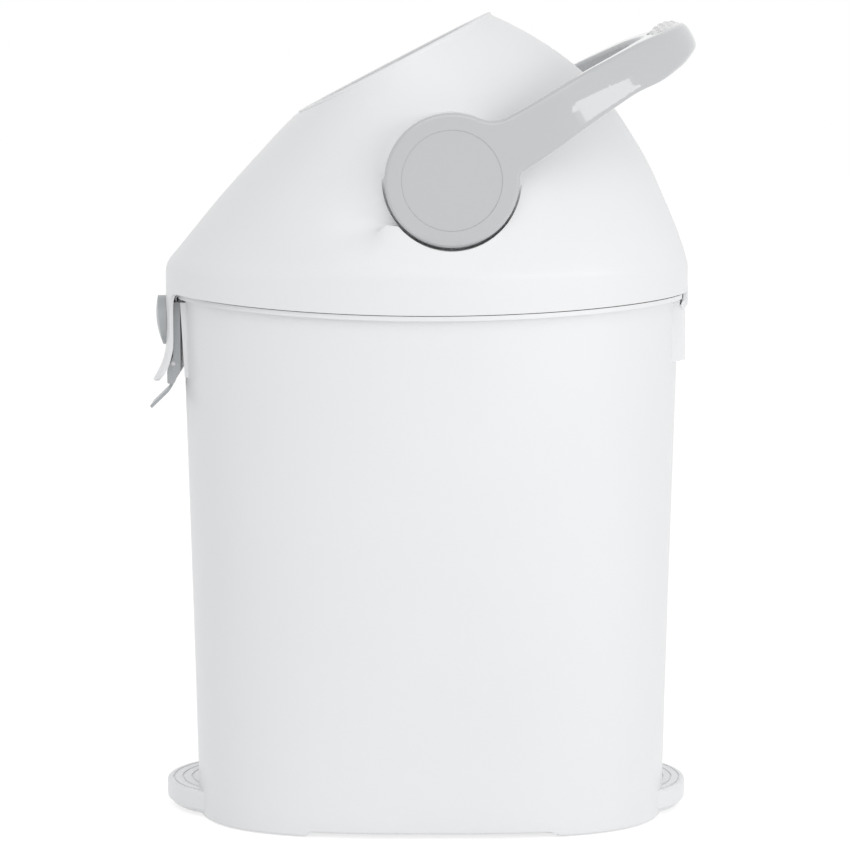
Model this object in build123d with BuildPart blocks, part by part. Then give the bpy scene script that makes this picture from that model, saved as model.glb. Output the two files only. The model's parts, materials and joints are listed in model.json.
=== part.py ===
from build123d import *
import os
from math import atan2, cos, degrees, hypot, radians, sin, sqrt

os.makedirs("parts", exist_ok=True)

# Nappy bin.  Millimetres.  X to the side, -Y to the front (latch), +Y to the back (hinge), +Z up.
# The origin lies on the floor, under the middle of the oval bucket.

# ---- bucket -------------------------------------------------------------------------------------
BUCKET_FOOT_Z = 7.0            # underside of the bucket, which stands on the base plate
BUCKET_TOP_Z = 398.0           # top of the rim wall that stands up inside the head
BUCKET_FOOT_HALF_W = 112.0
BUCKET_FOOT_HALF_D = 173.0
BUCKET_TOP_HALF_W = 130.0
BUCKET_TOP_HALF_D = 184.5
BUCKET_WALL = 2.5
BUCKET_FLOOR = 4.0
BUCKET_FOOT_ROUND = 2.0
BEAD_PROUD = 5.5               # how far the rim bead stands out from the wall
BEAD_DEPTH = 3.4
SCREW_BOSS_R = 6.0
SCREW_BOSS_H = 12.0

# ---- seam between bucket and head: an arc in the side view, lowest at the middle ----------------
SEAM_MIDDLE_Z = 384.0
SEAM_END_Z = 392.0
SEAM_HALF_CHORD = 196.0
SEAM_GAP = 0.6

# ---- base plate with its two treadles -----------------------------------------------------------
BASE_ARCH_HALF_LEN = 90.0      # the plate is cut away along each side, between the corner feet
BASE_ARCH_INNER_X = 92.0
TREADLE_R = 64.0
TREADLE_CENTRE_Y = 137.6
TREADLE_BOTTOM_Z = 4.0
TREADLE_TOP_Z = 21.0
TREADLE_EDGE = 4.0
TREADLE_GROOVE_W = 1.6
TREADLE_GROOVE_DEPTH = 1.0
TREADLE_GROOVE_PITCH = 7.0
TREADLE_GROOVES = 4
BASE_CLEAR = 0.25
FOOT_PAD_R = 9.0
FOOT_PAD_H = 3.0
FOOT_PAD_X = 62.0
FOOT_PAD_Y = 118.0
BASE_SCREW_X = 55.0
BASE_SCREW_Y = 80.0
BASE_SCREW_R = 1.9
BASE_SCREW_HEAD_R = 4.0
BASE_SCREW_HEAD_H = 2.6
BASE_SCREW_LEN = 14.0
BASE_SCREW_SINK = 1.0
SCREW_HOLE_CLEAR = 0.1

# ---- head: an oval skirt that is lofted up to a round, tilted rim -------------------------------
SKIRT_HALF_W = 137.0
SKIRT_HALF_D = 196.0
SKIRT_SHIFT_Y = -4.0
SKIRT_TOP_Z = 412.0
SKIRT_ROUND = 18.0             # soft bend where the dome meets the skirt
SKIRT_DROP = 10.0              # the skirt is drawn this far past the seam, then cut by it
HEAD_WALL = 2.6
RIM_TILT = 27.4                # the rim leans towards the front
RIM_R = 80.8
SHELL_TO_RIM = 3.0             # thickness of the collar flange on top of the shell
SIDE_BULGE = -2.0
BACK_BULGE = 31.0
HEAD_SECTIONS = 5

# ---- turning rotor ------------------------------------------------------------------------------
HUB_Y = 14.0
HUB_Z = 480.0
RIM_DISTANCE = 92.7            # from the rotor's axis to the rim plane
BALL_R = 88.0
BALL_WALL = 2.6
BALL_HALF_W = 76.0             # the ball is cut flat at its two sides
TUBE_BORE_R = 60.0
TUBE_WALL = 2.4
TUBE_LIP = 1.6
TUBE_LIP_H = 2.4
JOURNAL_R = 23.95
JOURNAL_BORE_R = 14.0
JOURNAL_WEB = 8.0              # solid end of the journal, which the hub screw holds
RUNNING_FIT = 0.05
BUSH_WALL = 3.0
BUSH_FLANGE = 4.0
BUSH_FLANGE_H = 2.0
BUSH_LEN = 12.0
DOG_COUNT = 3
DOG_R = 19.0
DOG_W = 5.0
DOG_H = 4.0
FIT_GAP = 0.2

# ---- piston inside the rotor's tube -------------------------------------------------------------
PISTON_R = 59.4
PISTON_H = 26.0
PISTON_SKIN = 2.6
PISTON_CROWN = 5.0
SEAL_SECTION = 4.0
SEAL_FIT = 0.08
WEIGHT_R = 30.0
WEIGHT_H = 6.0
PISTON_REST_GAP = 0.3

# ---- handle -------------------------------------------------------------------------------------
HANDLE_REST = 30.0             # degrees above the horizontal, towards the back
HUB_R = 48.5
HUB_OUTER_X = 126.0
HUB_INNER_X = 108.0
ARM_INNER_X = 114.0
ARM_HALF_H_AT_HUB = 22.0
ARM_HALF_H_AT_TIP = 11.5
GRIP_OUTER_R = 207.0
GRIP_INNER_R = 173.0
ARM_TOP_FILLET = 24.0
ARM_LOW_FILLET = 7.0
HANDLE_EDGE = 3.0
HANDLE_CLEAR = 0.5             # the dome is cut back this far from the arms
HUB_CLEAR = 2.0                # gap round the hub in its pocket
POCKET_FLOOR_X = 107.7
SWEEP_R = 215.0
SWEEP_FRONT_LOW = -37.0        # lower edge of the cut-back, near the hub and at the front
SWEEP_FRONT_END = -14.0
SWEEP_BACK_END = 92.0
HUB_CAP_R = 36.2
HUB_CAP_H = 2.4
HUB_CAP_SINK = 2.8             # the cap lies a little below the hub's face
HUB_CAP_LEDGE = 3.0
HUB_SCREW_R = 2.5
HUB_SCREW_HEAD_R = 6.0
HUB_SCREW_HEAD_H = 3.0
HUB_SCREW_LEN = 13.0
HUB_FLOOR = 6.0
GRIP_PAD_HALF_L = 42.0
GRIP_PAD_HALF_W = 12.5
GRIP_PAD_H = 3.0
GRIP_PAD_SINK = 1.2

# ---- collars, liner and seals -------------------------------------------------------------------
COLLAR_MOUTH_R = 70.0
COLLAR_THROAT_R = 65.0
COLLAR_WALL = 2.4
COLLAR_THROAT_D = 62.0         # distance of the throat from the rotor's axis
COLLAR_SEAL_W = 4.0
RIM_ROUND = 1.4
SEAL_GAP = 0.35
LINER_Z = 404.0
LINER_H = 2.5
LINER_GAP = 0.4
GASKET_W = 6.6
GASKET_GAP = 0.3
LINER_BOSS_R = 5.0
LINER_BOSS_X = 100.0
LINER_BOSS_Y = 84.0
LINER_SCREW_R = 1.8
LINER_SCREW_HEAD_R = 3.6
LINER_SCREW_HEAD_H = 2.2
LINER_SCREW_LEN = 14.0
BAG_RING_PLAY = 1.2
BAG_RING_DROP = 14.0
BAG_RING_H = 2.0

# ---- rear hinge ---------------------------------------------------------------------------------
HINGE_Y = 187.9
HINGE_Z = 383.0
HINGE_PIN_R = 1.7
HINGE_PIN_HALF_L = 33.0
HINGE_PIN_HEAD_R = 2.8
KNUCKLE_R = 3.4
HEAD_KNUCKLE_HALF_L = 14.7
HINGE_SIDE_GAP = 0.4
BOSS_HALF_L = 34.0
BOSS_BACK_Y = 190.6
BOSS_BOTTOM_Z = 340.0
BOSS_DEPTH = 24.0              # drawn this deep, into the bucket's wall
BOSS_ROUND = 4.0

# ---- front latch --------------------------------------------------------------------------------
TAB_HALF_W = 29.0
TAB_FILLET = 12.0
TAB_FLARE_Z = 355.0
TAB_LIP_Z = 325.0
TAB_LIP_OUT = 9.8              # how far the lip flares out from the skirt's oval
TAB_CORNER = 8.0
TAB_DEEP_Y = -150.0            # the tab is cut out only in front of this plane
BUTTON_Z = 369.0
BUTTON_R = 18.5
BUTTON_FRONT_Y = -207.4
BUTTON_DOME_R = 58.0
BUTTON_DOME_HALF_A = 30.0       # how far the ball's front reaches round its middle
BUTTON_LEAN = 6.0
BUTTON_CUP_DEPTH = 1.4
BUTTON_BACK_Y = -198.5
BUTTON_STEM_Y = -195.9         # the stem ends just in front of the lever
BUTTON_WALL = 2.0
BUTTON_TONGUE_IN = 1.6          # the side tongues stand on the rim, clear of its inner edge
BUTTON_TONGUE_OUT = 0.5
BUTTON_TONGUE_ROOT = 0.6        # and are rooted this deep in it
BUTTON_STEM_R = 4.0
BUTTON_FIT = 0.06
BUTTON_EAR_W = 8.0
BUTTON_EAR_T = 1.4
BUTTON_EAR_OUT = 1.6
BUTTON_EAR_FRONT_Y = -194.9
SEAT_HALF_W = 27.0
SEAT_Y = -188.0
SEAT_BOTTOM_Z = 328.0
SEAT_TOP_Z = 384.0
BRACKET_T = 2.4
BRACKET_HALF_W = 24.0
CHEEK_T = 2.4
CHEEK_FRONT_Y = -198.0
CHEEK_UPPER_Y = -193.6         # the cheek steps back above the pin, behind the tab
CHEEK_BOTTOM_Z = 323.0
CHEEK_BACK_Z = 332.0           # the cheek's lower edge rises towards the wall
CHEEK_STEP_LOW_Z = 332.5
CHEEK_STEP_HIGH_Z = 343.5
LATCH_PIN_Y = -193.4
LATCH_PIN_Z = 338.0
LATCH_PIN_R = 1.5
LEVER_T = 2.2
LEVER_TOP_Z = 382.0
LEVER_SIDE_GAP = 0.4
LEVER_HEAD_HALF_W = 15.0
LEVER_SHOULDER_Z = 340.0
LEVER_BOSS_R = 2.7
LEVER_BEND_Z = 327.0            # the blade bends forward here, into the finger lip
LEVER_BEND_R = 15.0
LEVER_LIP_ANGLE = 46.0
LEVER_LIP_LEN = 16.0
LATCH_SCREW_R = 1.6
LATCH_SCREW_HEAD_R = 3.0
LATCH_SCREW_HEAD_H = 1.4
LATCH_SCREW_LEN = 9.0
LATCH_SCREW_Z = 374.0
LATCH_SCREW_X = 13.0


# ---- directions and planes of the tilted rotor --------------------------------------------------
TILT = radians(RIM_TILT)
TUBE_DIR = (0, -sin(TILT), cos(TILT))
TUBE_PLANE = Plane(origin=(0, HUB_Y, HUB_Z), x_dir=(1, 0, 0), z_dir=TUBE_DIR)
# profile plane through the tube's axis: local x is the radius, local y is the distance along the tube
TUBE_PROFILE = Plane(origin=(0, HUB_Y, HUB_Z), x_dir=(1, 0, 0), z_dir=(0, -cos(TILT), -sin(TILT)))
TUBE_AXIS = Axis((0, HUB_Y, HUB_Z), TUBE_DIR)
DROP_PROFILE = Plane(origin=(0, HUB_Y, HUB_Z), x_dir=(1, 0, 0), z_dir=(0, 1, 0))
DROP_AXIS = Axis((0, HUB_Y, HUB_Z), (0, 0, -1))
SIDE = Plane(origin=(0, 0, 0), x_dir=(0, 1, 0), z_dir=(1, 0, 0))
HUB_SIDE = Plane(origin=(0, HUB_Y, HUB_Z), x_dir=(0, 1, 0), z_dir=(1, 0, 0))
REST = radians(HANDLE_REST)
ARM_SIDE = Plane(origin=(0, HUB_Y, HUB_Z), x_dir=(0, cos(REST), sin(REST)), z_dir=(1, 0, 0))
ARM_PLAN = Plane(origin=(0, HUB_Y, HUB_Z), x_dir=(1, 0, 0), z_dir=(0, -sin(REST), cos(REST)))


def oval(height, half_width, half_depth, shift=0.0):
    """An oval sketch at a height, for the loft or extrusion that follows it."""
    with BuildSketch(Plane.XY.offset(height)) as sketch:
        with Locations((0, shift)):
            Ellipse(half_width, half_depth)
    return sketch.sketch


def wall_half(height, foot, top):
    """Half width or half depth of the tapered bucket at a height."""
    share = (height - BUCKET_FOOT_Z) / (BUCKET_TOP_Z - BUCKET_FOOT_Z)
    return foot + (top - foot) * share


def bucket_oval(height, outwards):
    """The bucket's outline at a height, grown outwards by a distance."""
    half_w = wall_half(height, BUCKET_FOOT_HALF_W, BUCKET_TOP_HALF_W)
    half_d = wall_half(height, BUCKET_FOOT_HALF_D, BUCKET_TOP_HALF_D)
    return oval(height, half_w + outwards, half_d + outwards)


def below_seam(offset, depth):
    """Side-view sketch of everything from the seam (raised by offset) down to a depth."""
    reach = SEAM_HALF_CHORD * 1.2
    end_z = SEAM_END_Z + offset
    with BuildSketch(SIDE) as sketch:
        with BuildLine():
            arc = ThreePointArc(
                (-SEAM_HALF_CHORD, end_z), (0, SEAM_MIDDLE_Z + offset), (SEAM_HALF_CHORD, end_z)
            )
            Polyline(arc @ 1, (reach, end_z), (reach, end_z - depth), (-reach, end_z - depth),
                     (-reach, end_z), arc @ 0)
        make_face()
    return sketch.sketch


def head_oval(share, inwards, top_distance):
    """One section of the head's loft: share 0 is the skirt, 1 is the tilted rim."""
    rim_y = HUB_Y - sin(TILT) * top_distance
    rim_z = HUB_Z + cos(TILT) * top_distance
    low_front = (SKIRT_SHIFT_Y - SKIRT_HALF_D, SKIRT_TOP_Z)
    low_back = (SKIRT_SHIFT_Y + SKIRT_HALF_D, SKIRT_TOP_Z)
    top_front = (rim_y - RIM_R * cos(TILT), rim_z - RIM_R * sin(TILT))
    top_back = (rim_y + RIM_R * cos(TILT), rim_z + RIM_R * sin(TILT))
    front = [low + (top - low) * share for low, top in zip(low_front, top_front)]
    back = [low + (top - low) * share for low, top in zip(low_back, top_back)]
    chord = hypot(top_back[0] - low_back[0], top_back[1] - low_back[1])
    bow = BACK_BULGE * 4 * share * (1 - share) / chord
    back[0] += (top_back[1] - low_back[1]) * bow
    back[1] -= (top_back[0] - low_back[0]) * bow
    lean = atan2(back[1] - front[1], back[0] - front[0])
    half_depth = hypot(back[0] - front[0], back[1] - front[1]) / 2
    half_width = SKIRT_HALF_W + (RIM_R - SKIRT_HALF_W) * share + SIDE_BULGE * 4 * share * (1 - share)
    centre = (0, (front[0] + back[0]) / 2, (front[1] + back[1]) / 2)
    with BuildSketch(Plane(origin=centre, x_dir=(1, 0, 0), z_dir=(0, -sin(lean), cos(lean)))) as sketch:
        Ellipse(half_width - inwards, half_depth - inwards)
    return sketch.sketch


def head_form(inwards, top_distance):
    """The head's dome and skirt as a solid, shrunk by a wall thickness."""
    with BuildPart() as form:
        shares = [step / (HEAD_SECTIONS - 1) for step in range(HEAD_SECTIONS)]
        loft([head_oval(share, inwards, top_distance) for share in shares])
        skirt = oval(SKIRT_TOP_Z, SKIRT_HALF_W - inwards, SKIRT_HALF_D - inwards, SKIRT_SHIFT_Y)
        extrude(skirt, amount=SEAM_MIDDLE_Z - SKIRT_DROP - SKIRT_TOP_Z)
        bend = form.edges().filter_by(lambda e: abs((e @ 0.3).Z - SKIRT_TOP_Z) < 0.5 and e.length > BALL_R)
        fillet(bend, SKIRT_ROUND - inwards)
    return form.part


def lip_oval(share, inwards):
    """The skirt's oval drawn down and out to the tab's lip: share 0 is the flare's start, 1 is the lip."""
    height = TAB_FLARE_Z + (TAB_LIP_Z - TAB_FLARE_Z) * share
    outwards = TAB_LIP_OUT * share ** 2 - inwards
    return oval(height, SKIRT_HALF_W + outwards, SKIRT_HALF_D + outwards, SKIRT_SHIFT_Y)


def ring_sketch(plane, inner, outer):
    """A flat ring sketch on a plane."""
    with BuildSketch(plane) as sketch:
        Circle(outer)
        Circle(inner, mode=Mode.SUBTRACT)
    return sketch.sketch


def ball_distance(radius):
    """Distance from the rotor's axis at which the ball has this radius round the tube."""
    return sqrt(BALL_R ** 2 - radius ** 2)


def finish(piece, name):
    """Label a finished piece and write it to its own file."""
    piece.part.label = name
    export_step(piece.part, f"parts/{name}.step")
    print(f"{name:20s} solids {len(piece.part.solids())}  volume {piece.part.volume / 1000:9.2f} cm3")


# ---- rim bead: the lip under the head's edge, which follows the seam ----------------------------
BEAD_SIDE = 2 * SKIRT_HALF_W
with BuildPart() as bead:
    extrude(bucket_oval(SEAM_END_Z, BEAD_PROUD), amount=-3 * (SEAM_END_Z - SEAM_MIDDLE_Z))
    extrude(below_seam(-SEAM_GAP, SEAM_END_Z), amount=BEAD_SIDE, both=True, mode=Mode.INTERSECT)
    extrude(below_seam(-SEAM_GAP - BEAD_DEPTH, SEAM_END_Z), amount=BEAD_SIDE, both=True, mode=Mode.SUBTRACT)

# ---- bucket -------------------------------------------------------------------------------------
BASE_SCREW_SPOTS = (2 * BASE_SCREW_X, 2 * BASE_SCREW_Y, 2, 2)
with BuildPart() as bucket:
    loft([bucket_oval(BUCKET_FOOT_Z, 0), bucket_oval(BUCKET_TOP_Z, 0)], ruled=True)
    fillet(bucket.faces().sort_by(Axis.Z)[0].edges(), BUCKET_FOOT_ROUND)
    add(bead.part)
    # hinge boss on the back
    with BuildSketch(Plane.XY.offset(BOSS_BOTTOM_Z)):
        with Locations((0, BOSS_BACK_Y - BOSS_DEPTH / 2)):
            RectangleRounded(2 * BOSS_HALF_L, BOSS_DEPTH, BOSS_ROUND)
    extrude(amount=HINGE_Z - BOSS_BOTTOM_Z)
    with BuildSketch(Plane.YZ.offset(-BOSS_HALF_L)):
        with Locations((HINGE_Y, HINGE_Z)):
            Circle(KNUCKLE_R)
    extrude(amount=2 * BOSS_HALF_L)
    # flat seat for the latch on the front
    with BuildSketch(Plane.XY.offset(SEAT_BOTTOM_Z)):
        with Locations((0, SEAT_Y + BOSS_DEPTH / 2)):
            RectangleRounded(2 * SEAT_HALF_W, BOSS_DEPTH, 1.0)
    extrude(amount=SEAT_TOP_Z - SEAT_BOTTOM_Z)
    # the hollow inside
    loft(
        [bucket_oval(BUCKET_FOOT_Z + BUCKET_FLOOR, -BUCKET_WALL), bucket_oval(BUCKET_TOP_Z, -BUCKET_WALL)],
        ruled=True,
        mode=Mode.SUBTRACT,
    )
    # room for the head's knuckle, and the pin's hole
    with BuildSketch(Plane.YZ.offset(-HEAD_KNUCKLE_HALF_L - HINGE_SIDE_GAP)):
        room_corner = (HINGE_Y - KNUCKLE_R - HINGE_SIDE_GAP / 2, HINGE_Z - KNUCKLE_R - 2 * HINGE_SIDE_GAP)
        with Locations(room_corner):
            Rectangle(BOSS_DEPTH, BOSS_DEPTH, align=(Align.MIN, Align.MIN))
    extrude(amount=2 * (HEAD_KNUCKLE_HALF_L + HINGE_SIDE_GAP), mode=Mode.SUBTRACT)
    with BuildSketch(Plane.YZ.offset(-BOSS_HALF_L)):
        with Locations((HINGE_Y, HINGE_Z)):
            Circle(HINGE_PIN_R + RUNNING_FIT)
    extrude(amount=2 * BOSS_HALF_L, mode=Mode.SUBTRACT)
    # screw bosses on the floor, with blind holes from below
    with BuildSketch(Plane.XY.offset(BUCKET_FOOT_Z + BUCKET_FLOOR / 2)):
        with GridLocations(*BASE_SCREW_SPOTS):
            Circle(SCREW_BOSS_R)
    extrude(amount=SCREW_BOSS_H)
    with BuildSketch(Plane.XY.offset(BUCKET_FOOT_Z)):
        with GridLocations(*BASE_SCREW_SPOTS):
            Circle(BASE_SCREW_R + SCREW_HOLE_CLEAR)
    extrude(amount=SCREW_BOSS_H - 1, mode=Mode.SUBTRACT)
    # holes for the latch screws, through the seat and the wall
    with BuildSketch(Plane.XZ.offset(-SEAT_Y)):
        with Locations((-LATCH_SCREW_X, LATCH_SCREW_Z), (LATCH_SCREW_X, LATCH_SCREW_Z)):
            Circle(LATCH_SCREW_R + SCREW_HOLE_CLEAR)
    extrude(amount=-2 * LATCH_SCREW_LEN, mode=Mode.SUBTRACT)
finish(bucket, "bucket")

# ---- base plate, feet and screws ----------------------------------------------------------------
with BuildPart() as base_plate:
    with BuildSketch(Plane.XY.offset(TREADLE_BOTTOM_Z)):
        with Locations((0, -TREADLE_CENTRE_Y), (0, TREADLE_CENTRE_Y)):
            Circle(TREADLE_R)
    extrude(amount=TREADLE_TOP_Z - TREADLE_BOTTOM_Z)
    fillet(base_plate.faces().group_by(Axis.Z)[-1].edges(), TREADLE_EDGE / 2)
    chamfer(base_plate.faces().group_by(Axis.Z)[0].edges(), TREADLE_EDGE)
    with BuildSketch(Plane.XY.offset(TREADLE_TOP_Z)):
        for ring in range(TREADLE_GROOVES):
            groove_r = TREADLE_R - TREADLE_EDGE - ring * TREADLE_GROOVE_PITCH
            with Locations((0, -TREADLE_CENTRE_Y), (0, TREADLE_CENTRE_Y)):
                Circle(groove_r)
                Circle(groove_r - TREADLE_GROOVE_W, mode=Mode.SUBTRACT)
    extrude(amount=-TREADLE_GROOVE_DEPTH, mode=Mode.SUBTRACT)
    loft(
        [bucket_oval(BUCKET_FOOT_Z - BASE_CLEAR, BASE_CLEAR), bucket_oval(BUCKET_TOP_Z, BASE_CLEAR)],
        ruled=True,
        mode=Mode.SUBTRACT,
    )
    extrude(bucket_oval(0, 0), amount=BUCKET_FOOT_Z - BASE_CLEAR)
    with BuildSketch(Plane.XY):
        for side in (-1, 1):
            with Locations((side * (BASE_ARCH_INNER_X + BUCKET_FOOT_HALF_W), 0)):
                RectangleRounded(2 * BUCKET_FOOT_HALF_W, 2 * BASE_ARCH_HALF_LEN, BOSS_ROUND)
    extrude(amount=BUCKET_FOOT_Z, mode=Mode.SUBTRACT)
    with BuildSketch(Plane.XY):
        with GridLocations(2 * FOOT_PAD_X, 2 * FOOT_PAD_Y, 2, 2):
            Circle(FOOT_PAD_R + FIT_GAP)
    extrude(amount=FOOT_PAD_H, mode=Mode.SUBTRACT)
    with BuildSketch(Plane.XY):
        with GridLocations(*BASE_SCREW_SPOTS):
            Circle(BASE_SCREW_HEAD_R + FIT_GAP)
    extrude(amount=BASE_SCREW_SINK + BASE_SCREW_HEAD_H, mode=Mode.SUBTRACT)
    with BuildSketch(Plane.XY):
        with GridLocations(*BASE_SCREW_SPOTS):
            Circle(BASE_SCREW_R + SCREW_HOLE_CLEAR)
    extrude(amount=BUCKET_FOOT_Z, mode=Mode.SUBTRACT)
finish(base_plate, "base_plate")

with BuildPart() as foot_pads:
    with BuildSketch(Plane.XY):
        with GridLocations(2 * FOOT_PAD_X, 2 * FOOT_PAD_Y, 2, 2):
            Circle(FOOT_PAD_R)
    extrude(amount=FOOT_PAD_H)
finish(foot_pads, "foot_pads")

with BuildPart() as base_screws:
    with BuildSketch(Plane.XY.offset(BASE_SCREW_SINK)):
        with GridLocations(*BASE_SCREW_SPOTS):
            Circle(BASE_SCREW_HEAD_R)
    extrude(amount=BASE_SCREW_HEAD_H)
    with BuildSketch(Plane.XY.offset(BASE_SCREW_SINK + BASE_SCREW_HEAD_H)):
        with GridLocations(*BASE_SCREW_SPOTS):
            Circle(BASE_SCREW_R)
    extrude(amount=BASE_SCREW_LEN - BASE_SCREW_HEAD_H)
finish(base_screws, "base_screws")

# ---- bag ring: hangs on the bucket's top edge and traps the folded bag --------------------------
with BuildPart() as bag_ring:
    extrude(bucket_oval(BUCKET_TOP_Z, 0), amount=BAG_RING_H)
    fillet(bag_ring.faces().sort_by(Axis.Z)[-1].edges(), BAG_RING_H / 2)
    skirt_z = BUCKET_TOP_Z - BAG_RING_DROP
    extrude(bucket_oval(skirt_z, -BUCKET_WALL - BAG_RING_PLAY), amount=BAG_RING_DROP)
    extrude(
        bucket_oval(skirt_z, -BUCKET_WALL - BAG_RING_PLAY - BAG_RING_H),
        amount=BAG_RING_DROP + BAG_RING_H,
        mode=Mode.SUBTRACT,
    )
finish(bag_ring, "bag_ring")

# ---- rear hinge pin: headed at one end ----------------------------------------------------------
with BuildPart() as hinge_pin:
    with BuildSketch(Plane.YZ.offset(-HINGE_PIN_HALF_L - 1)):
        with Locations((HINGE_Y, HINGE_Z)):
            Circle(HINGE_PIN_R)
    extrude(amount=2 * HINGE_PIN_HALF_L + 2)
    with BuildSketch(Plane.YZ.offset(BOSS_HALF_L)):
        with Locations((HINGE_Y, HINGE_Z)):
            Circle(HINGE_PIN_HEAD_R)
    extrude(amount=HINGE_PIN_R)
finish(hinge_pin, "hinge_pin")

# ---- latch on the bucket: bracket, pin, screws and lever ----------------------------------------
with BuildPart() as latch_bracket:
    with BuildSketch(Plane.XZ.offset(-SEAT_Y)):
        with Locations((0, (SEAT_TOP_Z + CHEEK_BACK_Z) / 2)):
            RectangleRounded(2 * BRACKET_HALF_W, SEAT_TOP_Z - CHEEK_BACK_Z, 3.0)
    extrude(amount=BRACKET_T)
    for side in (-1, 1):
        inner_x = side * (BRACKET_HALF_W - CHEEK_T)
        with BuildSketch(Plane.YZ.offset(inner_x)) as cheek:
            with BuildLine():
                Polyline(
                    (SEAT_Y, SEAT_TOP_Z), (CHEEK_UPPER_Y, SEAT_TOP_Z), (CHEEK_UPPER_Y, CHEEK_STEP_HIGH_Z),
                    (CHEEK_FRONT_Y, CHEEK_STEP_LOW_Z), (CHEEK_FRONT_Y, CHEEK_BOTTOM_Z),
                    (CHEEK_UPPER_Y, CHEEK_BOTTOM_Z), (SEAT_Y, CHEEK_BACK_Z), close=True,
                )
            make_face()
            fillet(cheek.vertices().group_by(Axis.X)[0], CHEEK_T / 2)
        extrude(amount=side * CHEEK_T)
    with BuildSketch(Plane.YZ.offset(-BRACKET_HALF_W)):
        with Locations((LATCH_PIN_Y, LATCH_PIN_Z)):
            Circle(LATCH_PIN_R + RUNNING_FIT)
    extrude(amount=2 * BRACKET_HALF_W, mode=Mode.SUBTRACT)
    with BuildSketch(Plane.XZ.offset(-SEAT_Y)):
        with Locations((-LATCH_SCREW_X, LATCH_SCREW_Z), (LATCH_SCREW_X, LATCH_SCREW_Z)):
            Circle(LATCH_SCREW_R + SCREW_HOLE_CLEAR)
    extrude(amount=BRACKET_T, mode=Mode.SUBTRACT)
    with BuildSketch(Plane.XZ.offset(-SEAT_Y + BRACKET_T)):
        with Locations((-LATCH_SCREW_X, LATCH_SCREW_Z), (LATCH_SCREW_X, LATCH_SCREW_Z)):
            Circle(LATCH_SCREW_HEAD_R + FIT_GAP)
    extrude(amount=-LATCH_SCREW_HEAD_H, mode=Mode.SUBTRACT)
finish(latch_bracket, "latch_bracket")

with BuildPart() as latch_screws:
    with BuildSketch(Plane.XZ.offset(-SEAT_Y + BRACKET_T)):
        with Locations((-LATCH_SCREW_X, LATCH_SCREW_Z), (LATCH_SCREW_X, LATCH_SCREW_Z)):
            Circle(LATCH_SCREW_HEAD_R)
    extrude(amount=-LATCH_SCREW_HEAD_H)
    with BuildSketch(Plane.XZ.offset(-SEAT_Y + BRACKET_T - LATCH_SCREW_HEAD_H)):
        with Locations((-LATCH_SCREW_X, LATCH_SCREW_Z), (LATCH_SCREW_X, LATCH_SCREW_Z)):
            Circle(LATCH_SCREW_R)
    extrude(amount=-(LATCH_SCREW_LEN - LATCH_SCREW_HEAD_H))
finish(latch_screws, "latch_screws")

with BuildPart() as latch_pin:
    with BuildSketch(Plane.YZ.offset(-BRACKET_HALF_W)):
        with Locations((LATCH_PIN_Y, LATCH_PIN_Z)):
            Circle(LATCH_PIN_R)
    extrude(amount=2 * BRACKET_HALF_W)
finish(latch_pin, "latch_pin")

LEVER_HALF_W = BRACKET_HALF_W - CHEEK_T - LEVER_SIDE_GAP
with BuildPart() as latch_lever:
    with BuildSketch(Plane.YZ.offset(-LEVER_HALF_W)):
        with BuildLine():
            blade_y = LATCH_PIN_Y - LEVER_T / 2
            blade = Line((blade_y, LEVER_TOP_Z), (blade_y, LEVER_BEND_Z))
            bend = JernArc(blade @ 1, blade % 1, LEVER_BEND_R, -LEVER_LIP_ANGLE)
            PolarLine(bend @ 1, LEVER_LIP_LEN, direction=bend % 1)
        trace(line_width=LEVER_T)
        with Locations((LATCH_PIN_Y, LATCH_PIN_Z)):
            Circle(LEVER_BOSS_R)
        with Locations((LATCH_PIN_Y, LATCH_PIN_Z)):
            Circle(LATCH_PIN_R + RUNNING_FIT, mode=Mode.SUBTRACT)
    extrude(amount=2 * LEVER_HALF_W)
    with BuildSketch(Plane.XZ.offset(-LATCH_PIN_Y)):
        for side in (-1, 1):
            with Locations((side * LEVER_HEAD_HALF_W, LEVER_SHOULDER_Z)):
                Rectangle(LEVER_HALF_W, LEVER_TOP_Z, align=(Align.MIN if side > 0 else Align.MAX, Align.MIN))
    extrude(amount=LEVER_T, both=True, mode=Mode.SUBTRACT)
finish(latch_lever, "latch_lever")

# ---- head: reliefs for the hubs and the turning arms, used on the outside and, grown, on the inside ----
def relief(grow):
    """The round hub pockets and the sector that the arms sweep, grown by a wall thickness."""
    with BuildPart() as cutter:
        for side in (-1, 1):
            with BuildSketch(HUB_SIDE.offset(side * (POCKET_FLOOR_X - grow))):
                Circle(HUB_R + HUB_CLEAR + grow)
            extrude(amount=side * SKIRT_HALF_W)
            with BuildSketch(HUB_SIDE.offset(side * (ARM_INNER_X - HANDLE_CLEAR - grow))):
                with BuildLine():
                    Polyline(
                        (0, SWEEP_FRONT_LOW - grow), (SWEEP_R, SWEEP_BACK_END - grow), (SWEEP_R, SWEEP_R),
                        (-SWEEP_R, SWEEP_R), (-SWEEP_R, SWEEP_FRONT_END - grow), close=True,
                    )
                make_face()
                Circle(SWEEP_R, mode=Mode.INTERSECT)
            extrude(amount=side * SKIRT_HALF_W)
    return cutter.part


SHELL_TOP_D = RIM_DISTANCE - SHELL_TO_RIM
SKIRT_BOTTOM_Z = SEAM_MIDDLE_Z - SKIRT_DROP

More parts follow.
